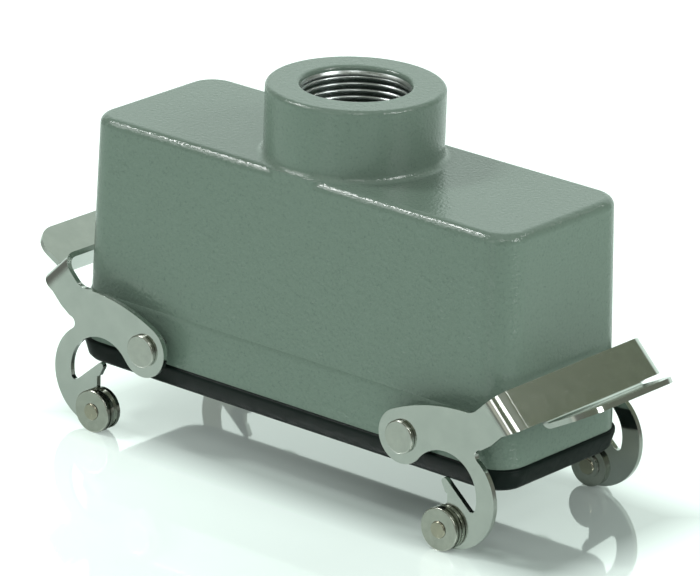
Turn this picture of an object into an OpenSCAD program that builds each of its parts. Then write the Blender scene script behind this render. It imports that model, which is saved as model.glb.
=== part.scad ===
// Cable-to-cable hood of a heavy duty rectangular connector, 24-pole size,
// with two sheet-metal locking levers that carry a roller at each hook.
// Millimetres, +Z up, +X along the hood. The origin lies below the middle of
// the hood, on the surface that the four rollers stand on.

/* [Hood casting] */
// Length of the hood at its rim
hood_l = 120; // [114:0.5:126]
// Width of the hood at its rim
hood_w = 41.5; // [40:0.1:46]
// Height from the lower edge of the seal to the top face
hood_h = 56.3; // [50:0.1:75]
// Thickness of the cast walls
wall = 3; // [2.4:0.1:3.6]
// Thickness of the roof over the cavity
roof = 3.4; // [2.5:0.1:5]
// Radius of the upright corners
corner_r = 6.8; // [5.5:0.1:8]
// Radius along the edges of the top face
top_r = 2.1; // [1:0.1:3]
// Draft of the two end walls, in degrees
draft_end = 1.8; // [0.5:0.1:2.5]
// Draft of the two long walls, in degrees
draft_side = 0.35; // [0:0.05:1]
// Height of the thicker skirt above the lower edge of the seal
skirt_h = 15.3; // [12:0.1:18]
// How far the skirt stands out from the wall above it
skirt_step = 0.4; // [0.2:0.1:0.8]

/* [Cable entry] */
// Diameter of the entry collar
collar_d = 39; // [34:0.5:40]
// Height of the collar above the top face
collar_h = 15.9; // [10:0.1:22]
// Radius of the collar's top edge
collar_edge = 1.1; // [0.5:0.1:2]
// Radius of the fillet at the collar's foot
collar_foot = 1.6; // [0.5:0.1:2.5]
// Nominal diameter of the entry thread
entry_d = 25; // [20:0.5:27]
// Width of the chamfer at the mouth of the entry
entry_chamfer = 0.4; // [0.2:0.1:1]

/* [Insert screws] */
// Distance of the insert screws from the ends of the hood
insert_inset = 8; // [7.5:0.1:10]
// Spacing of the insert screws across the hood
insert_sy = 27; // [24:0.5:27]
// Nominal diameter of the insert screws
insert_d = 4; // [3:0.1:4]
// Depth of each screw hole
insert_depth = 12; // [8:0.5:20]
// Diameter of the posts that take the screws
post_d = 7.6; // [7:0.1:8.5]
// Depth of the posts' lower faces inside the metal rim
post_recess = 3; // [1:0.5:8]
// Thickness of the webs that tie the posts to the walls
web_t = 3; // [2:0.1:4]

/* [Rim seal] */
// Height of the seal that shows below the metal
seal_h = 5; // [4:0.1:6]
// How far the seal's upper lip stands out from the metal
seal_lip = 0.9; // [0.5:0.1:1.4]
// Thickness of the tongue of the casting that the seal sits on
tongue_t = 1.4; // [1:0.1:1.8]
// Length of that tongue
tongue_h = 2.6; // [1.5:0.1:3.2]
// Distance of the tongue from the outer face of the wall
tongue_inset = 1.2; // [1:0.1:1.6]
// Width of the seal, from the outer face of the wall inwards
seal_w = 3.6; // [3.2:0.1:5]

/* [Lever] */
// Thickness of the lever sheet
sheet = 1.2; // [1:0.1:1.5]
// Distance of the pivots from the ends of the hood
pivot_inset = 23.7; // [21:0.1:27]
// Height of the pivots above the lower edge of the seal
pivot_up = 8.5; // [8:0.1:10]
// Diameter of the cast boss behind each pivot
pivot_boss_d = 6.4; // [6:0.1:7]
// Thickness of metal left under each pivot pin
pin_floor = 0.8; // [0.6:0.1:1.2]
// Distance between the outer faces of a lever's two arms
lever_w = 51.3; // [50.8:0.1:55]
// Radius of the lobe round the pivot
lobe_r = 6.1; // [5.2:0.1:6.6]
// Position of the top of the arm's back, outward from the pivot
back_x = 17; // [15.5:0.1:18]
// Height of the top of the arm's back above the pivot
back_z = 10; // [9:0.1:11]
// Length of the bridge plate along its slope
bridge_l = 9.1; // [7.5:0.1:9.5]
// Inner radius of the bends between the arms and the bridge plate
bend_r = 2.8; // [1.5:0.1:3.2]
// Depth of the handle, from the outer face of the bridge plate to the heel
handle_depth = 8.2; // [7:0.1:9]
// How far the arm's lower edge stops short of the bridge plate's end
heel_cut = 1.4; // [0.4:0.1:2]
// Slope of the bridge plate when the lever is open, in degrees
bridge_slope = 45; // [43:0.5:48]

/* [Grip tab] */
// Width of the grip tab
tab_w = 32.4; // [26:0.1:36]
// Length of the flat of the grip tab
tab_l = 11.1; // [8:0.1:14]
// Rise of the grip tab when the lever is open, in degrees
tab_rise = 28; // [15:0.5:35]
// Radius of the grip tab's outer corners
tab_corner = 6.5; // [3:0.1:8]
// Inner radius of the bend at the root of the grip tab
tab_bend = 1; // [0.6:0.1:1.6]

/* [Hook] */
// Distance from the pivot to the roller axis, outward
hook_x = 12.6; // [12:0.1:13.2]
// Distance from the pivot down to the roller axis
hook_drop = 17; // [16.4:0.1:17.6]
// Radius of the hook's outer edge
hook_r = 11.7; // [11.4:0.1:12.2]
// Radius of the slot that takes the mating peg
slot_r = 8.8; // [8.4:0.1:9]
// Radius of the fingertip inside the slot
tip_r = 0.8; // [0.6:0.1:1.1]
// Radius of the narrow end of the slot
slot_end_r = 1; // [0.7:0.1:1.2]
// Radius of the notch between the hook and the handle
notch_r = 1.5; // [1.2:0.1:1.7]

/* [Rollers] */
// Diameter of the rollers
roller_d = 9.6; // [9:0.1:10]
// Width of a roller
roller_w = 2; // [1.5:0.1:2.2]
// Depth of the groove round a roller's rim
groove_d = 0.6; // [0.3:0.1:0.9]
// Width of that groove
groove_w = 0.4; // [0.3:0.1:0.6]
// Diameter of the disc on the inner side of the arm
disc_d = 9.4; // [8:0.1:9.6]
// Thickness of that disc
disc_t = 0.9; // [0.5:0.1:1.1]
// Diameter of the raised step on that disc
step_d = 5.6; // [5:0.1:6.5]
// Height of that step
step_t = 0.5; // [0.3:0.1:0.6]
// Diameter of the rivet that carries the roller
rivet_d = 3; // [2.5:0.1:3.2]

/* [Pivot pins] */
// Diameter of the shank of a pivot pin
pin_d = 4; // [3.5:0.1:4.5]
// Diameter of the head of a pivot pin
pin_head_d = 7.4; // [6.5:0.1:8]
// Thickness of the head of a pivot pin
pin_head_h = 0.9; // [0.7:0.1:1.2]

/* [Clearances] */
// Radial running clearance of pins in their holes
run_gap = 0.05; // [0.02:0.01:0.1]
// Side clearance between turning faces
side_gap = 0.1; // [0.05:0.05:0.2]
// Clearance between the seal and the tongue in its groove
seal_gap = 0.05; // [0.02:0.01:0.1]
// Gap between the bridge plate's upper edge and the end wall of an open lever
stop_gap = 0.52; // [0.3:0.01:1.5]

/* [Hidden] */
$fn = 72;

// Heights above the surface that the rollers stand on
pivot_z = roller_d / 2 + hook_drop;
seal_z = pivot_z - pivot_up;
rim_z = seal_z + seal_h;
top_z = seal_z + hood_h;
skirt_top = seal_z + skirt_h;
collar_top = top_z + collar_h;
roof_z = top_z - roof;
post_z = rim_z + post_recess;

// Distances from the middle of the hood
insert_sx = hood_l - 2 * insert_inset;
pivot_x = hood_l / 2 - pivot_inset;

// Half widths of the lever and of what stands beside it
arm_out = lever_w / 2;
arm_in = arm_out - sheet;
boss_end = arm_in - side_gap;
pin_root = hood_w / 2 - wall + pin_floor;
roller_in = arm_out + side_gap;
roller_out = roller_in + roller_w;

// Bridge plate: unit vectors along its slope and square to it, in the X-Z plane
along = [cos(bridge_slope), -sin(bridge_slope)];
outward = [sin(bridge_slope), cos(bridge_slope)];
bend_out = bend_r + sheet;

// Curves that run into each other cross by this much, so that no sliver is left
blend = 0.005;

// Arm outline, measured from the pivot: the back is an arc that runs into the
// lobe and is level at [back_x, back_z]
lobe_in = lobe_r - blend;
back_r = (back_x * back_x + back_z * back_z - lobe_in * lobe_in) / (2 * (back_z - lobe_in));
back_c = [back_x, back_z - back_r];
lobe_end = -back_c / norm(back_c) * (lobe_r + 1);
neck_r = 4;
// The line through the bridge plate's upper end meets the level of the back here
neck_corner = [back_x + neck_r * tan((90 - bridge_slope) / 2), back_z];
neck_c = [back_x, back_z + neck_r];
// From there, the plate's inner face is as far out as the end wall and the gap ask
wall_at_neck = hood_l / 2 - (pivot_up + back_z) * tan(draft_end) - pivot_x;
rise_to_plate = (wall_at_neck + stop_gap - neck_corner[0]) / (outward[0] + outward[1] * tan(draft_end));
bridge_top = neck_corner + outward * (rise_to_plate + sheet);
bridge_end = bridge_top + along * bridge_l;
neck_tangent = neck_c + neck_r * along;

// Hook and slot, measured from the pivot
roller_c = [hook_x, -hook_drop];
hook_c = roller_c + [1.1, 7.4];
slot_dir = -36.9;
slot_c = (lobe_r + slot_r) * [cos(slot_dir), sin(slot_dir)];
slot_end_dir = -14;
slot_end = slot_c + (slot_r - slot_end_r + blend) * [cos(slot_end_dir), sin(slot_end_dir)];
tip_c = slot_c + [0.2, 2.1];
tip_dir = 207;
eye_r = roller_d / 2 - groove_d;
finger_x = hook_x + 0.4;
notch_dir = 54.5;
notch_c = hook_c + (hook_r + notch_r - blend) * [cos(notch_dir), sin(notch_dir)];
fold_end = bridge_end - along * heel_cut - outward * (bend_out + 0.5);
heel = bridge_end - along * heel_cut - outward * handle_depth;

// Tangent that touches the fingertip from above and the slot's end from below
tip_to_end = slot_end - tip_c;
cam_angle = atan2(tip_to_end[1], tip_to_end[0]) - asin((tip_r + slot_end_r) / norm(tip_to_end));
cam_normal = [-sin(cam_angle), cos(cam_angle)];

function wall_x(z) = hood_l / 2 - (z - seal_z) * tan(draft_end);
function wall_y(z) = hood_w / 2 - (z - seal_z) * tan(draft_side);

// ---------------------------------------------------------------- hood

// One level of a drafted block: four upright corner discs, inset from the walls
module corner_discs(z, inset, r, thick = 0.01) {
  for (sx = [-1, 1], sy = [-1, 1])
    translate([sx * (wall_x(z) - inset - r), sy * (wall_y(z) - inset - r), z])
      cylinder(r = r, h = thick, $fn = 48);
}

// The outside of the drafted block, with its rounded top edge
module hood_block() {
  hull() {
    corner_discs(rim_z, 0, corner_r);
    for (sx = [-1, 1], sy = [-1, 1])
      translate([sx * (wall_x(top_z) - corner_r), sy * (wall_y(top_z) - corner_r), top_z - top_r])
        rotate_extrude($fn = 48)
          translate([corner_r - top_r, 0])
            intersection() {
              circle(top_r, $fn = 32);
              square(top_r + 1);
            }
  }
}

module skirt() {
  hull() {
    corner_discs(rim_z, -skirt_step, corner_r + skirt_step);
    corner_discs(skirt_top, -skirt_step, corner_r + skirt_step);
    corner_discs(skirt_top + 1, 0, corner_r);
  }
}

module cavity() {
  hull() {
    corner_discs(rim_z - 1, wall, corner_r - wall);
    corner_discs(roof_z - 1.5, wall, corner_r - wall);
    corner_discs(roof_z, wall + 1.5, corner_r - wall - 1.5);
  }
}

// Walls of the block carried straight up, which trim the foot of the collar
module tall_walls() {
  hull() {
    corner_discs(rim_z + 1, 0, corner_r);
    corner_discs(top_z + collar_foot + 1, 0, corner_r);
  }
}

module collar() {
  r = collar_d / 2;
  translate([0, 0, roof_z])
    cylinder(r = r - 1, h = roof);
  translate([0, 0, top_z - top_r])
    rotate_extrude($fn = 120) {
      square([r - collar_edge, collar_h + top_r]);
      square([r, collar_h + top_r - collar_edge]);
      translate([r - collar_edge, collar_h + top_r - collar_edge])
        circle(collar_edge, $fn = 32);
    }
  intersection() {
    tall_walls();
    translate([0, 0, top_z - top_r])
      rotate_extrude($fn = 120)
        difference() {
          square([r + collar_foot, collar_foot + top_r]);
          translate([r + collar_foot, collar_foot + top_r])
            circle(collar_foot, $fn = 48);
        }
  }
}

module entry_hole() {
  r = entry_d / 2;
  translate([0, 0, roof_z - 1])
    cylinder(r = r, h = collar_top - roof_z + 2);
  translate([0, 0, collar_top - entry_chamfer])
    cylinder(r1 = r, r2 = r + entry_chamfer + 0.1, h = entry_chamfer + 0.1);
}

module insert_posts() {
  web_z = post_z + 2;
  for (sx = [-1, 1], sy = [-1, 1]) {
    px = sx * insert_sx / 2;
    py = sy * insert_sy / 2;
    translate([px, py, post_z])
      cylinder(d = post_d, h = roof_z + 0.5 - post_z);
    // Webs that tie each post to the end wall and to the long wall
    translate([sx > 0 ? px : 1 - wall_x(roof_z), py - web_t / 2, web_z])
      cube([wall_x(roof_z) - 1 - insert_sx / 2, web_t, roof_z + 0.5 - web_z]);
    translate([px - web_t / 2, sy > 0 ? py : 1 - wall_y(roof_z), web_z])
      cube([web_t, wall_y(roof_z) - 1 - insert_sy / 2, roof_z + 0.5 - web_z]);
  }
}

// Places its children at both pivots of both long walls, pointing outwards
module at_pivots() {
  for (sx = [-1, 1], sy = [-1, 1])
    translate([sx * pivot_x, 0, pivot_z])
      rotate([-90 * sy, 0, 0])
        children();
}

// A slab of the rim's outline, with its edge inset from the wall
module rim_slab(inset, h) {
  r = corner_r - inset;
  half_x = hood_l / 2 - inset;
  half_y = hood_w / 2 - inset;
  for (sx = [-1, 1], sy = [-1, 1])
    translate([sx * (half_x - r), sy * (half_y - r), 0])
      cylinder(r = r, h = h, $fn = 48);
  translate([-half_x, r - half_y, 0])
    cube([2 * half_x, 2 * (half_y - r), h]);
  translate([r - half_x, -half_y, 0])
    cube([2 * (half_x - r), 2 * half_y, h]);
}

// The tongue below the rim, which runs into the wall above it
module tongue() {
  translate([0, 0, rim_z - tongue_h])
    difference() {
      rim_slab(tongue_inset, tongue_h + 0.5);
      translate([0, 0, -1])
        rim_slab(tongue_inset + tongue_t, tongue_h + 2);
    }
}

module hood_body() {
  color([0.45, 0.52, 0.47])
  difference() {
    union() {
      difference() {
        union() {
          hood_block();
          skirt();
          collar();
        }
        cavity();
      }
      insert_posts();
      tongue();
      // Cast pivot bosses, flat where they meet the plane of the rim
      intersection() {
        at_pivots()
          translate([0, 0, pin_root])
            cylinder(d = pivot_boss_d, h = boss_end - pin_root);
        translate([-hood_l / 2, -hood_w, rim_z])
          cube([hood_l, 2 * hood_w, hood_h]);
      }
    }
    entry_hole();
    for (sx = [-1, 1], sy = [-1, 1])
      translate([sx * insert_sx / 2, sy * insert_sy / 2, post_z - 1])
        cylinder(d = insert_d, h = insert_depth + 1);
    // Blind holes that hold the pivot pins
    at_pivots()
      translate([0, 0, pin_root])
        cylinder(d = pin_d, h = boss_end - pin_root + 1);
  }
}

// ---------------------------------------------------------------- seal

// Sweeps a profile round the rim: profile x runs outward from the wall line
module rim_sweep() {
  sx = hood_l / 2 - corner_r;
  sy = hood_w / 2 - corner_r;
  for (a = [0, 180])
    rotate([0, 0, a]) {
      translate([0, -sy, 0])
        rotate([90, 0, 90])
          translate([0, 0, -sx])
            linear_extrude(2 * sx)
              mirror([1, 0])
                translate([corner_r, 0])
                  children();
      translate([sx, 0, 0])
        rotate([90, 0, 180])
          translate([0, 0, -sy])
            linear_extrude(2 * sy)
              mirror([1, 0])
                translate([corner_r, 0])
                  children();
      translate([sx, sy, 0])
        rotate_extrude(angle = 90)
          translate([corner_r, 0])
            children();
      translate([sx, -sy, 0])
        rotate([0, 0, -90])
          rotate_extrude(angle = 90)
            translate([corner_r, 0])
              children();
    }
}

module seal_profile() {
  inner = -seal_w;
  lip_r = 0.5;
  foot_r = 0.8;
  difference() {
    union() {
      // Lip under the metal, then a flank that tapers in to the rounded foot
      translate([seal_lip - lip_r, rim_z - lip_r - 0.1])
        circle(lip_r, $fn = 24);
      polygon([
        [inner, seal_z + foot_r], [inner + foot_r, seal_z], [-foot_r, seal_z], [0, seal_z + foot_r],
        [seal_lip, rim_z - 1.2], [seal_lip, rim_z - lip_r - 0.1],
        [seal_lip - lip_r, rim_z - lip_r], [seal_lip - lip_r, rim_z], [inner, rim_z]
      ]);
    }
    translate([-tongue_inset - tongue_t - seal_gap, rim_z - tongue_h - seal_gap])
      square([tongue_t + 2 * seal_gap, tongue_h + 1]);
  }
}

module rim_seal() {
  color([0.13, 0.16, 0.16])
    rim_sweep()
      seal_profile();
}

// ---------------------------------------------------------------- levers

module finger() {
  cam_start = tip_c + (tip_r - blend) * cam_normal;
  cam_end = slot_end - (slot_end_r - blend) * cam_normal;
  tip_back = tip_c + (tip_r - blend) * [cos(tip_dir), sin(tip_dir)];
  root = slot_end + 3 * [cos(slot_end_dir), sin(slot_end_dir)];
  translate(tip_c)
    circle(tip_r);
  polygon([
    tip_c, cam_start, cam_end, slot_end, root, roller_c + [7.4, 0.5], roller_c + [2.4, -2.5],
    roller_c, [finger_x, roller_c[1]], [finger_x, slot_c[1] - 1.4], tip_back
  ]);
}

// Side view of an arm with the handle, open, measured from the pivot
module arm_outline() {
  far = 4 * hook_r;
  difference() {
    union() {
      circle(lobe_r);
      intersection() {
        translate(back_c)
          circle(back_r, $fn = 180);
        polygon([lobe_end, [0, 0], slot_c, [back_x, 0], [back_x, back_z + 2], [0, back_z + 2]]);
      }
      polygon([
        [back_x, back_z], slot_c, hook_c, notch_c, notch_c + [0, notch_r], heel,
        fold_end, bridge_end, bridge_top, neck_tangent
      ]);
      intersection() {
        translate(hook_c)
          circle(hook_r);
        polygon([
          slot_c, [slot_c[0], 4], [far, 4], [far, -far], [finger_x, -far], [finger_x, slot_c[1]]
        ]);
      }
      translate(roller_c)
        circle(eye_r);
    }
    translate(neck_c)
      circle(neck_r);
    translate(notch_c)
      circle(notch_r);
    difference() {
      translate(slot_c)
        circle(slot_r);
      finger();
      translate(roller_c)
        circle(eye_r);
    }
    translate(slot_end)
      circle(slot_end_r);
    circle(d = pin_d + 2 * run_gap);
    translate(roller_c)
      circle(d = rivet_d);
  }
}

// Section across the folded sheet: a channel open towards the pivot
module channel(half, edge, depth) {
  hull_w = half - edge;
  translate([-half, -depth])
    square([2 * half, depth - edge]);
  translate([-hull_w, -depth])
    square([2 * hull_w, depth]);
  for (s = [-1, 1])
    translate([s * hull_w, -edge])
      circle(edge);
}

module folded_sheet() {
  length = 4 * (bridge_l + hook_drop);
  depth = 4 * bridge_top[0];
  // The section runs along the bridge plate's slope
  translate([bridge_top[0], 0, bridge_top[1]])
    rotate([0, 90 + bridge_slope, 0])
      rotate([0, 0, 90])
        translate([0, 0, -length / 2])
          linear_extrude(length)
            difference() {
              channel(arm_out, bend_out, depth);
              translate([0, -sheet])
                channel(arm_in, bend_r, depth);
            }
}

// Points along an arc about the origin
function arc(r, from, to, steps = 12) =
  [for (i = [0:steps]) let (t = from + (to - from) * i / steps) r * [cos(t), sin(t)]];

module grip_tab() {
  turn = bridge_slope + tab_rise;
  // The tab lies this much inside the faces of the plate that it grows from
  inset = 0.01;
  tab_start = 2 * sheet;
  tall = bridge_l + tab_l;
  r_in = tab_bend + inset;
  r_out = tab_bend + sheet - inset;
  tip = (tab_l + 1) * [-sin(turn), cos(turn)];
  root = bridge_end + tab_bend * outward;
  intersection() {
    // Root bend and flat in one profile, turned about the axis of the bend
    translate([root[0], 0, root[1]])
      rotate([90, 0, 0])
        translate([0, 0, -tab_w])
          linear_extrude(2 * tab_w)
            rotate(-90 - bridge_slope)
              polygon(concat(
                [[r_in, -tab_start]], arc(r_in, 0, turn), [arc(r_in, turn, turn, 1)[0] + tip],
                [arc(r_out, turn, turn, 1)[0] + tip], arc(r_out, turn, 0), [[r_out, -tab_start]]
              ));
    // Outline of the flat, square to it
    translate([root[0], 0, root[1]])
      rotate([0, -tab_rise, 0])
        translate([0, 0, -tall])
          linear_extrude(2 * tall) {
            translate([-tall, -tab_w / 2])
              square([tab_l - tab_corner + tall, tab_w]);
            translate([-tall, -tab_w / 2 + tab_corner])
              square([tab_l + tall, tab_w - 2 * tab_corner]);
            for (s = [-1, 1])
              translate([tab_l - tab_corner, s * (tab_w / 2 - tab_corner)])
                circle(tab_corner);
          }
  }
}

module lever() {
  translate([pivot_x, 0, pivot_z]) {
    intersection() {
      rotate([90, 0, 0])
        translate([0, 0, -arm_out - 1])
          linear_extrude(2 * arm_out + 2)
            arm_outline();
      folded_sheet();
    }
    grip_tab();
  }
}

module lever_right() {
  color([0.72, 0.73, 0.70])
    lever();
}

module lever_left() {
  color([0.72, 0.73, 0.70])
    mirror([1, 0, 0])
      lever();
}

// ---------------------------------------------------------------- pins and rollers

// Moves a piece drawn along +Z to one roller axis or pivot; side and face are -1 or 1
module at_axis(side, face, c) {
  translate([side * (pivot_x + c[0]), 0, pivot_z + c[1]])
    rotate([-90 * face, 0, 0])
      children();
}

module pivot_pin(side, face) {
  soft = 0.3;
  r = pin_head_d / 2;
  color([0.75, 0.77, 0.74])
    at_axis(side, face, [0, 0]) {
      translate([0, 0, pin_root])
        cylinder(d = pin_d, h = roller_in + 0.2 - pin_root);
      translate([0, 0, roller_in])
        rotate_extrude() {
          square([r - soft, pin_head_h]);
          square([r, pin_head_h - soft]);
          translate([r - soft, pin_head_h - soft])
            circle(soft, $fn = 24);
        }
    }
}

module roller(side, face) {
  hole_r = rivet_d / 2 + run_gap;
  rim_r = roller_d / 2;
  soft = 0.25;
  color([0.74, 0.75, 0.71])
    at_axis(side, face, roller_c)
      translate([0, 0, roller_in])
        rotate_extrude()
          difference() {
            union() {
              translate([hole_r, 0])
                square([rim_r - soft - hole_r, roller_w]);
              translate([hole_r, soft])
                square([rim_r - hole_r, roller_w - 2 * soft]);
              for (z = [soft, roller_w - soft])
                translate([rim_r - soft, z])
                  circle(soft, $fn = 24);
            }
            translate([rim_r - groove_d, (roller_w - groove_w) / 2])
              square([groove_d + 1, groove_w]);
          }
}

module inner_disc(side, face) {
  color([0.70, 0.71, 0.67])
    at_axis(side, face, roller_c)
      difference() {
        union() {
          translate([0, 0, arm_in - disc_t])
            cylinder(d = disc_d, h = disc_t);
          translate([0, 0, arm_in - disc_t - step_t])
            cylinder(d = step_d, h = disc_t + step_t);
        }
        translate([0, 0, arm_in - disc_t - step_t - 1])
          cylinder(d = rivet_d, h = disc_t + step_t + 2);
      }
}

module roller_rivet(side, face) {
  head_d = rivet_d + 0.8;
  head_h = 0.35;
  // The inner head lies on the disc's step, the outer one beside the roller
  inner_face = arm_in - disc_t - step_t;
  outer_face = roller_out + side_gap;
  color([0.72, 0.70, 0.60])
    at_axis(side, face, roller_c) {
      translate([0, 0, inner_face - head_h / 2])
        cylinder(d = rivet_d, h = outer_face - inner_face + head_h);
      translate([0, 0, outer_face])
        cylinder(d1 = head_d, d2 = head_d - 0.4, h = head_h);
      translate([0, 0, inner_face - head_h])
        cylinder(d1 = head_d - 0.4, d2 = head_d, h = head_h);
    }
}

hood_body();
rim_seal();
pivot_pin(-1, -1);  // pivot_pin_left_front
pivot_pin(-1, 1);  // pivot_pin_left_back
pivot_pin(1, -1);  // pivot_pin_right_front
pivot_pin(1, 1);  // pivot_pin_right_back
lever_left();
lever_right();
roller(-1, -1);  // roller_left_front
roller(-1, 1);  // roller_left_back
roller(1, -1);  // roller_right_front
roller(1, 1);  // roller_right_back
inner_disc(-1, -1);  // inner_disc_left_front
inner_disc(-1, 1);  // inner_disc_left_back
inner_disc(1, -1);  // inner_disc_right_front
inner_disc(1, 1);  // inner_disc_right_back
roller_rivet(-1, -1);  // roller_rivet_left_front
roller_rivet(-1, 1);  // roller_rivet_left_back
roller_rivet(1, -1);  // roller_rivet_right_front
roller_rivet(1, 1);  // roller_rivet_right_back
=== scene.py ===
"""Dresses the cable hood of a rectangular connector: cast body, rim seal,
two locking levers, their pins, and the four rollers."""

from math import cos, pi, radians, sin

import bmesh
import bpy
from mathutils import Matrix, Vector


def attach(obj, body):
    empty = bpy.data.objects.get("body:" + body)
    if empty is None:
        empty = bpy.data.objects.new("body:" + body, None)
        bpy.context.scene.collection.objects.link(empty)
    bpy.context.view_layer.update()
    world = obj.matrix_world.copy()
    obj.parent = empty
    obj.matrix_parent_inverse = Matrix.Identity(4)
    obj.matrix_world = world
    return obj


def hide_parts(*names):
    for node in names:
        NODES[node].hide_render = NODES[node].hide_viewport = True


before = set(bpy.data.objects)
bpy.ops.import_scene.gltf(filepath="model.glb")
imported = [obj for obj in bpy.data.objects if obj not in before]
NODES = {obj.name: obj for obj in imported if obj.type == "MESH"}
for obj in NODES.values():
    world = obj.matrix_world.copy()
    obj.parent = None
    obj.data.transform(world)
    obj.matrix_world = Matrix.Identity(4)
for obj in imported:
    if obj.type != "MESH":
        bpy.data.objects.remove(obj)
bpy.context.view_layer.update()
MM = 0.001
SIDES = ("left", "right")
FACES = ("front", "back")
WELD = 2e-6                     # metres within which two points are one
FLAT = radians(0.6)             # faces closer in angle than this are one face
SHARP = radians(35)             # edges steeper than this can be eased
CREASE = radians(50)            # edges steeper than this are shaded sharp


# ------------------------------------------------------------ material tools

class Finish:
    """A node material with one principled shader, patterned on Object coordinates."""

    def __init__(self, name, **sockets):
        self.material = bpy.data.materials.new(name)
        self.material.use_nodes = True
        self.tree = self.material.node_tree
        self.shader = self.tree.nodes["Principled BSDF"]
        self.place = self.node("ShaderNodeTexCoord").outputs["Object"]
        for socket, value in sockets.items():
            self.shader.inputs[socket.replace("_", " ")].default_value = value

    def node(self, kind, **values):
        made = self.tree.nodes.new(kind)
        for key, value in values.items():
            socket = made.inputs.get(key.replace("_", " "))
            if socket is not None and not hasattr(made, key):
                self.put(value, socket)
            else:
                setattr(made, key, value)
        return made

    def put(self, value, socket):
        if isinstance(value, bpy.types.NodeSocket):
            self.tree.links.new(value, socket)
        else:
            socket.default_value = value

    def stretched(self, scale):
        mapping = self.node("ShaderNodeMapping", Scale=scale)
        self.put(self.place, mapping.inputs["Vector"])
        return mapping.outputs["Vector"]

    def noise(self, size_mm, detail=2.0, rough=0.5, place=None):
        made = self.node("ShaderNodeTexNoise", Scale=1 / (size_mm * MM), Detail=detail,
                         Roughness=rough)
        self.put(place or self.place, made.inputs["Vector"])
        return made.outputs["Fac"]

    def ramp(self, value, stops):
        made = self.node("ShaderNodeValToRGB")
        self.put(value, made.inputs["Fac"])
        points = made.color_ramp.elements
        while len(points) < len(stops):
            points.new(0.5)
        for point, (position, colour) in zip(points, stops):
            point.position = position
            point.color = (*colour, 1)
        return made.outputs["Color"]

    def remap(self, value, low, high, from_low=0.0, from_high=1.0):
        made = self.node("ShaderNodeMapRange")
        limits = {"From Min": from_low, "From Max": from_high, "To Min": low, "To Max": high}
        for key, number in limits.items():
            made.inputs[key].default_value = number
        self.put(value, made.inputs["Value"])
        return made.outputs["Result"]

    def bump(self, height, depth_mm, under=None):
        made = self.node("ShaderNodeBump", Strength=1.0, Distance=depth_mm * MM)
        self.put(height, made.inputs["Height"])
        if under is not None:
            self.put(under, made.inputs["Normal"])
        return made.outputs["Normal"]

    def maths(self, operation, first, second=0.0):
        made = self.node("ShaderNodeMath", operation=operation)
        self.put(first, made.inputs[0])
        self.put(second, made.inputs[1])
        return made.outputs[0]

    def plug(self, **sockets):
        for socket, value in sockets.items():
            self.put(value, self.shader.inputs[socket.replace("_", " ")])
        return self


def hammer_enamel():
    """Glossy grey-green enamel with an orange-peel surface."""
    paint = Finish("grey_green_enamel", Roughness=0.12, IOR=1.5)
    peel = paint.bump(paint.noise(0.80, 2.0), 0.13)
    peel = paint.bump(paint.noise(0.30, 2.0), 0.03, under=peel)
    tint = paint.ramp(paint.noise(0.65, 4.0, 0.65), [
        (0.28, (0.116, 0.165, 0.132)),
        (0.43, (0.146, 0.206, 0.165)),
        (0.75, (0.157, 0.220, 0.177))])
    return paint.plug(Base_Color=tint, Normal=peel).material


def sheet_steel():
    """Bright stainless sheet with faint rolling marks and scratches."""
    steel = Finish("bright_stainless_sheet", Metallic=1.0)
    marks = steel.noise(0.9, 4.0, 0.6, steel.stretched((0.25, 1.0, 1.0)))
    grain = steel.bump(steel.noise(1.6, 3.0), 0.003)
    tint = steel.ramp(steel.noise(3.5, 3.0), [
        (0.3, (0.54, 0.575, 0.54)), (0.7, (0.59, 0.62, 0.585))])
    rough = steel.remap(marks, 0.09, 0.16, 0.3, 0.7)
    return steel.plug(Base_Color=tint, Roughness=rough, Normal=grain).material


def turned_steel(name, light, dark, low, high):
    """Lathe-turned steel, slightly uneven."""
    steel = Finish(name, Metallic=1.0)
    wear = steel.noise(0.8, 4.0, 0.6)
    tint = steel.ramp(steel.noise(1.6, 3.0), [(0.3, dark), (0.7, light)])
    grain = steel.bump(steel.noise(0.5, 2.0), 0.002)
    rough = steel.remap(wear, low, high, 0.3, 0.7)
    return steel.plug(Base_Color=tint, Roughness=rough, Normal=grain).material


def bare_alloy():
    """Machined die-cast alloy inside the entry."""
    alloy = Finish("machined_alloy", Metallic=1.0)
    chatter = alloy.noise(0.5, 3.0, 0.5, alloy.stretched((1.0, 1.0, 3.0)))
    tint = alloy.ramp(alloy.noise(2.0, 3.0), [(0.3, (0.42, 0.46, 0.45)), (0.7, (0.52, 0.56, 0.55))])
    rough = alloy.remap(chatter, 0.26, 0.40, 0.3, 0.7)
    return alloy.plug(Base_Color=tint, Roughness=rough).material


def seal_rubber():
    """Black moulded rubber with a faint sheen."""
    rubber = Finish("black_seal_rubber", IOR=1.5, Specular_IOR_Level=0.1)
    tint = rubber.ramp(rubber.noise(3.0, 3.0), [
        (0.3, (0.004, 0.009, 0.007)), (0.7, (0.007, 0.013, 0.011))])
    skin = rubber.bump(rubber.noise(0.6, 3.0), 0.02)
    rough = rubber.remap(rubber.noise(1.5, 3.0), 0.36, 0.52, 0.3, 0.7)
    return rubber.plug(Base_Color=tint, Roughness=rough, Normal=skin).material


# ------------------------------------------------------------ mesh tools

def new_object(name, mesh):
    made = bpy.data.objects.new(name, mesh)
    bpy.context.scene.collection.objects.link(made)
    return made


def frozen(obj):
    """Replaces the object's mesh by its evaluated one, without modifiers."""
    graph = bpy.context.evaluated_depsgraph_get()
    mesh = bpy.data.meshes.new_from_object(obj.evaluated_get(graph))
    obj.modifiers.clear()
    obj.data = mesh
    return obj


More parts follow.
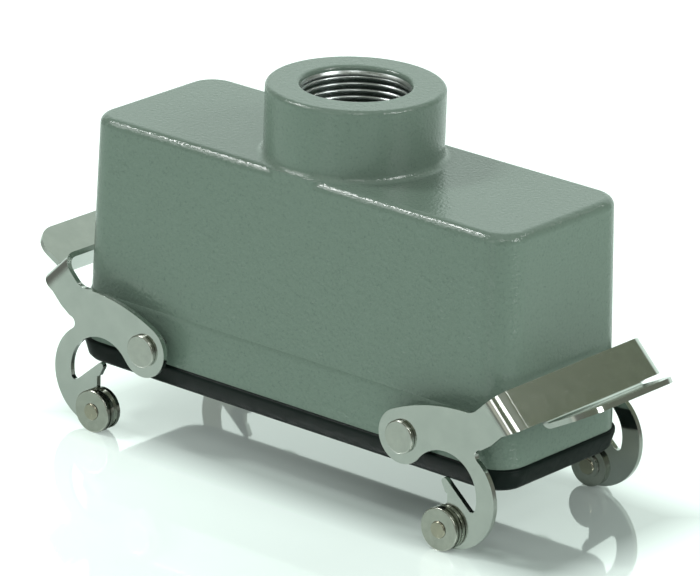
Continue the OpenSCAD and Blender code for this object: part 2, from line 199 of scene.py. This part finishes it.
def finish_mesh(obj, bevel_mm=0.0, steps=2):
    """Eases the sharp edges if a width is given, and shades the rest smooth with
    flat faces kept flat."""
    for edge in obj.data.edges:
        edge.use_edge_sharp = False
    if bevel_mm:
        ease = obj.modifiers.new("eased_edges", "BEVEL")
        ease.width = bevel_mm * MM
        ease.segments = steps
        ease.limit_method = "ANGLE"
        ease.angle_limit = SHARP
        ease.miter_outer = "MITER_ARC"
        ease.use_clamp_overlap = True
        frozen(obj)
    obj.data.polygons.foreach_set("use_smooth", [True] * len(obj.data.polygons))
    obj.data.set_sharp_from_angle(angle=CREASE)
    even = obj.modifiers.new("flat_stays_flat", "WEIGHTED_NORMAL")
    even.keep_sharp = True
    even.weight = 80
    return frozen(obj)


def from_node(node, name, bevel_mm=0.0, steps=2):
    """A merged copy of a CAD node, with its edges eased if a width is given."""
    obj = new_object(name, NODES[node].data.copy())
    work = bmesh.new()
    work.from_mesh(obj.data)
    bmesh.ops.remove_doubles(work, verts=work.verts, dist=WELD)
    bmesh.ops.dissolve_limit(work, angle_limit=FLAT, verts=work.verts, edges=work.edges)
    work.to_mesh(obj.data)
    work.free()
    return finish_mesh(obj, bevel_mm, steps)


def dress(obj, material, body, node):
    """Paints a piece, hides the CAD node it stands for, and hangs it on its body."""
    obj.data.materials.clear()
    obj.data.materials.append(material)
    obj.data.polygons.foreach_set("material_index", [0] * len(obj.data.polygons))
    if node:
        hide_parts(node)
    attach(obj, body)
    return obj


def turned(name, profile, turns=96):
    """Turns a closed (radius, height) profile, in mm, about the entry's upright axis."""
    work = bmesh.new()
    rings = [[work.verts.new((r * MM * cos(a), r * MM * sin(a), h * MM)) for r, h in profile]
             for a in (2 * pi * i / turns for i in range(turns))]
    for ring, following in zip(rings, rings[1:] + rings[:1]):
        for j in range(len(profile)):
            k = (j + 1) % len(profile)
            work.faces.new((ring[j], ring[k], following[k], following[j]))
    bmesh.ops.recalc_face_normals(work, faces=work.faces)
    mesh = bpy.data.meshes.new(name)
    work.to_mesh(mesh)
    work.free()
    return finish_mesh(new_object(name, mesh))


def arc(centre, radius, start, end, steps=8):
    """Points round an arc in the (radius, height) plane; angles in degrees."""
    angles = [radians(start + (end - start) * i / steps) for i in range(steps + 1)]
    return [(centre[0] + radius * cos(a), centre[1] + radius * sin(a)) for a in angles]


# ------------------------------------------------------------ pieces

ENAMEL = hammer_enamel()
SHEET = sheet_steel()
PIN = turned_steel("pin_steel", (0.56, 0.58, 0.53), (0.50, 0.52, 0.48), 0.14, 0.22)
ROLLER = turned_steel("roller_steel", (0.50, 0.52, 0.46), (0.43, 0.45, 0.40), 0.16, 0.24)
DISC = turned_steel("disc_steel", (0.50, 0.52, 0.47), (0.42, 0.44, 0.40), 0.16, 0.26)
RIVET = turned_steel("rivet_steel", (0.47, 0.46, 0.36), (0.40, 0.39, 0.31), 0.18, 0.28)
RUBBER = seal_rubber()
ALLOY = bare_alloy()

dress(from_node("hood_body", "cast_hood"), ENAMEL, "hood", "hood_body")
dress(from_node("rim_seal", "rim_seal_ring"), RUBBER, "hood", "rim_seal")
for side in SIDES:
    lever = f"lever_{side}"
    dress(from_node(lever, f"folded_{lever}", bevel_mm=0.28, steps=3), SHEET, lever, lever)
    for face in FACES:
        spot = f"{side}_{face}"
        dress(from_node(f"pivot_pin_{spot}", f"pin_{spot}"), PIN, "hood", f"pivot_pin_{spot}")
        roller, rivet = f"roller_{spot}", f"roller_rivet_{spot}"
        dress(from_node(roller, f"wheel_{spot}"), ROLLER, roller, roller)
        dress(from_node(f"inner_disc_{spot}", f"disc_{spot}"), DISC, lever, f"inner_disc_{spot}")
        dress(from_node(rivet, f"rivet_{spot}"), RIVET, lever, rivet)


def entry_thread(bore_r=12.5, ridge=0.8, pitch=1.5, low=67.0, high=83.6):
    """The female thread of the entry: a ridge swept along a spiral."""
    tree = bpy.data.node_groups.new("spiral_ridge", "GeometryNodeTree")
    tree.interface.new_socket("Geometry", in_out="OUTPUT", socket_type="NodeSocketGeometry")
    for label, value in (("Bore radius", bore_r * MM), ("Ridge", ridge * MM), ("Pitch", pitch * MM),
                         ("Height", (high - low) * MM)):
        socket = tree.interface.new_socket(label, in_out="INPUT", socket_type="NodeSocketFloat")
        socket.default_value = value
    link = tree.links.new
    sizes = tree.nodes.new("NodeGroupInput").outputs
    spiral = tree.nodes.new("GeometryNodeCurveSpiral")
    spiral.inputs["Resolution"].default_value = 96
    turns = tree.nodes.new("ShaderNodeMath")
    turns.operation = "DIVIDE"
    link(sizes["Height"], turns.inputs[0])
    link(sizes["Pitch"], turns.inputs[1])
    link(turns.outputs[0], spiral.inputs["Rotations"])
    link(sizes["Bore radius"], spiral.inputs["Start Radius"])
    link(sizes["Bore radius"], spiral.inputs["End Radius"])
    link(sizes["Height"], spiral.inputs["Height"])
    # Section of the ridge: four corners, with the narrow side towards the axis
    section = tree.nodes.new("GeometryNodeCurvePrimitiveQuadrilateral")
    section.mode = "POINTS"
    half = pitch / 2 * MM
    root, crest = half * 0.98, half * 0.16
    corners = ((0, -root), (ridge * MM, -crest), (ridge * MM, crest), (0, root))
    for i, (depth, rise) in enumerate(corners):
        section.inputs[f"Point {i + 1}"].default_value = (depth, rise, 0)
    sweep = tree.nodes.new("GeometryNodeCurveToMesh")
    level = tree.nodes.new("GeometryNodeTransform")
    level.inputs["Translation"].default_value = (0, 0, low * MM)
    real = tree.nodes.new("GeometryNodeRealizeInstances")
    paint = tree.nodes.new("GeometryNodeSetMaterial")
    paint.inputs["Material"].default_value = ALLOY
    out = tree.nodes.new("NodeGroupOutput")
    upright = tree.nodes.new("GeometryNodeSetCurveNormal")
    upright.mode = "Z_UP"
    link(spiral.outputs["Curve"], upright.inputs["Curve"])
    link(upright.outputs["Curve"], sweep.inputs["Curve"])
    link(section.outputs["Curve"], sweep.inputs["Profile Curve"])
    link(sweep.outputs["Mesh"], level.inputs["Geometry"])
    link(level.outputs["Geometry"], real.inputs["Geometry"])
    link(real.outputs["Geometry"], paint.inputs["Geometry"])
    link(paint.outputs["Geometry"], out.inputs[0])
    obj = new_object("entry_thread", bpy.data.meshes.new("entry_thread"))
    obj.modifiers.new("spiral_ridge", "NODES").node_group = tree
    return frozen(obj)


def entry_lip(top=85.5, crest_r=11.7, wall_r=12.55):
    """The painted lip that rounds the enamel into the entry, and the machined
    lead-in chamfer below it. All in mm."""
    roll = 0.75
    rim_r = 13.6
    edge_r = crest_r + 0.35
    lip = [(rim_r, top - 0.02)] + arc((edge_r + roll, top - 0.02 - roll), roll, 90, 180)
    lip += [(edge_r, top - 1.1), (wall_r, top - 1.1), (rim_r, top - 0.6)]
    lead = [(edge_r + 0.05, top - 1.0), (crest_r, top - 1.6), (crest_r, top - 2.0),
            (wall_r, top - 2.0), (wall_r, top - 1.0)]
    return turned("painted_lip", lip), turned("lead_in_chamfer", lead)


dress(entry_thread(), ALLOY, "hood", None)
painted_lip, lead_in = entry_lip()
dress(painted_lip, ENAMEL, "hood", None)
dress(lead_in, ALLOY, "hood", None)


# ------------------------------------------------------------ stage, light, camera

def floor():
    """A glossy pale table. It mirrors the backdrop, and clear of the part it gives off painted
    light (to the camera, in reflections and onto the part), so it reads as white there and keeps
    the shadow beneath."""
    mesh = bpy.data.meshes.new("table_top")
    work = bmesh.new()
    work.faces.new([work.verts.new(corner) for corner in
                    ((-1.5, -0.42, 0), (1.5, -0.42, 0), (1.5, 1.5, 0), (-1.5, 1.5, 0))])
    work.to_mesh(mesh)
    work.free()
    obj = new_object("table_top", mesh)
    top = Finish("glossy_white_table", Roughness=0.06, IOR=2.6, Coat_Weight=1.0,
                 Coat_Roughness=0.03)
    tint = top.ramp(top.noise(400, 1.0), [(0.3, (0.73, 0.84, 0.79)), (0.7, (0.75, 0.86, 0.81))])
    # How far a spot lies outside the hood's shadow, as the larger of the two overhangs
    parts = top.node("ShaderNodeSeparateXYZ")
    top.put(top.place, parts.inputs[0])
    along = top.maths("SUBTRACT", parts.outputs["X"], 6 * MM)
    clear = top.maths("MAXIMUM",
                      top.maths("SUBTRACT", top.maths("ABSOLUTE", along), 66 * MM),
                      top.maths("SUBTRACT", top.maths("ABSOLUTE", parts.outputs["Y"]), 21 * MM))
    # Painted pool of light: full clear of the hood's footprint, gone beneath it
    painted_pool_mask = top.remap(clear, 0.0, 1.0, 0.0, 12 * MM)
    path = top.node("ShaderNodeLightPath")
    # Painted light: the floor gives off light to the camera, in reflections and onto the part, as a
    # lamp would
    painted_floor_glow = 0.0
    shares = {"Is Camera Ray": 0.5, "Is Glossy Ray": 0.12, "Is Diffuse Ray": 0.8}
    for rays, strength in shares.items():
        painted_floor_glow = top.maths("ADD", painted_floor_glow, top.maths("MULTIPLY", path.outputs[rays], strength))
    painted_floor_glow = top.maths("MULTIPLY", painted_floor_glow, painted_pool_mask)
    # Painted light: seen by the camera, the floor is brighter towards the left, as though a little
    # light crept under the hood from the left
    painted_creep_light = top.remap(parts.outputs["X"], 0.18, 0.02, -25 * MM, 35 * MM)
    painted_floor_glow = top.maths("ADD", painted_floor_glow, top.maths("MULTIPLY", path.outputs["Is Camera Ray"], painted_creep_light))
    top.shader.inputs["Emission Color"].default_value = (0.88, 1, 0.95, 1)
    top.plug(Base_Color=tint, Emission_Strength=painted_floor_glow)
    mesh.materials.append(top.material)


def studio():
    """White to the camera, an even pale light for diffuse surfaces, and for
    glossy ones a dim room with a white backdrop behind on the left."""
    world = bpy.data.worlds.new("studio")
    bpy.context.scene.world = world
    world.use_nodes = True
    tree = world.node_tree
    tree.nodes.clear()
    link = tree.links.new

    def node(kind, **values):
        made = tree.nodes.new(kind)
        for key, value in values.items():
            setattr(made, key, value)
        return made

    def light(colour):
        made = node("ShaderNodeBackground")
        if isinstance(colour, bpy.types.NodeSocket):
            link(colour, made.inputs["Color"])
        else:
            made.inputs["Color"].default_value = (*colour, 1)
        return made.outputs[0]

    def mix(factor, first, second):
        made = node("ShaderNodeMixShader")
        link(factor, made.inputs[0])
        link(first, made.inputs[1])
        link(second, made.inputs[2])
        return made.outputs[0]

    def patch(under, centre, inner, outer, colour):
        """Mixes a colour in round a direction, full to one angle and gone at another."""
        towards = node("ShaderNodeVectorMath", operation="DOT_PRODUCT")
        link(direction, towards.inputs[0])
        towards.inputs[1].default_value = Vector(centre).normalized()
        fade = node("ShaderNodeMapRange", interpolation_type="SMOOTHSTEP")
        link(towards.outputs["Value"], fade.inputs["Value"])
        fade.inputs["From Min"].default_value = cos(radians(outer))
        fade.inputs["From Max"].default_value = cos(radians(inner))
        blend = node("ShaderNodeMix", data_type="RGBA")
        link(fade.outputs["Result"], blend.inputs["Factor"])
        link(under, blend.inputs["A"])
        blend.inputs["B"].default_value = (*colour, 1)
        return blend.outputs["Result"]

    direction = node("ShaderNodeTexCoord").outputs["Generated"]
    split = node("ShaderNodeSeparateXYZ")
    link(direction, split.inputs[0])
    height = node("ShaderNodeValToRGB")
    link(split.outputs["Z"], height.inputs["Fac"])
    stops = ((0.0, (0.20, 0.21, 0.19)), (0.15, (0.20, 0.21, 0.18)),
             (0.62, (0.16, 0.19, 0.125)), (1.0, (0.52, 0.54, 0.50)))
    points = height.color_ramp.elements
    while len(points) < len(stops):
        points.new(0.5)
    for point, (position, colour) in zip(points, stops):
        point.position = position
        point.color = (*colour, 1)
    room = height.outputs["Color"]
    room = patch(room, (-0.5, 0.85, 0.15), 32, 50, (0.95, 1.10, 1.02))
    room = patch(room, (-0.12, -0.98, 0.14), 5, 12, (0.60, 0.60, 0.52))
    path = node("ShaderNodeLightPath")
    even = light((0.29, 0.31, 0.30))
    unseen = mix(path.outputs["Is Diffuse Ray"], light(room), even)
    out = node("ShaderNodeOutputWorld")
    link(mix(path.outputs["Is Camera Ray"], unseen, light((1, 1, 1))), out.inputs["Surface"])


def softbox(name, azimuth, elevation, distance, width, height, watts):
    """A rectangular lamp that faces the part; degrees, metres and watts."""
    data = bpy.data.lights.new(name, "AREA")
    data.shape = "RECTANGLE"
    data.size = width
    data.size_y = height
    data.energy = watts
    lamp = new_object(name, data)
    a, e = radians(azimuth), radians(elevation)
    away = Vector((sin(a) * cos(e), -cos(a) * cos(e), sin(e)))
    lamp.location = Vector((0, 0, 0.04)) + away * distance
    lamp.rotation_euler = away.to_track_quat("Z", "Y").to_euler()


def camera():
    """A long lens on the front right corner, a little above, with a slight roll."""
    azimuth, elevation, roll = radians(39.124), radians(19.927), radians(1.975)
    back = Vector((sin(azimuth) * cos(elevation), -cos(azimuth) * cos(elevation), sin(elevation)))
    right = Vector((cos(azimuth), sin(azimuth), 0))
    up = back.cross(right)
    x = right * cos(roll) + up * sin(roll)
    y = up * cos(roll) - right * sin(roll)
    data = bpy.data.cameras.new("view")
    data.lens = 328.1
    data.sensor_width = 36
    data.clip_end = 20
    obj = new_object("view", data)
    spot = Vector((0.24 * MM, 0, 39.09 * MM)) + back * 1.3756
    turn = Matrix((x, y, back)).transposed().to_4x4()
    obj.matrix_world = Matrix.Translation(spot) @ turn
    bpy.context.scene.camera = obj


floor()
studio()
softbox("key_left", -65, 52, 1.2, 0.20, 0.20, 4.4)
softbox("left_front", -48, 37, 1.5, 0.7, 0.5, 4.0)
softbox("low_front", 6, 21, 1.8, 0.40, 0.36, 1.1)
softbox("high_right", 44, 46, 1.8, 0.52, 0.52, 3.2)
softbox("right_fill", 98, 32, 1.5, 0.5, 0.5, 8)
softbox("rear_spot", 148, 41, 1.5, 0.12, 0.12, 0.6)
camera()
bpy.context.scene.view_settings.view_transform = "Standard"
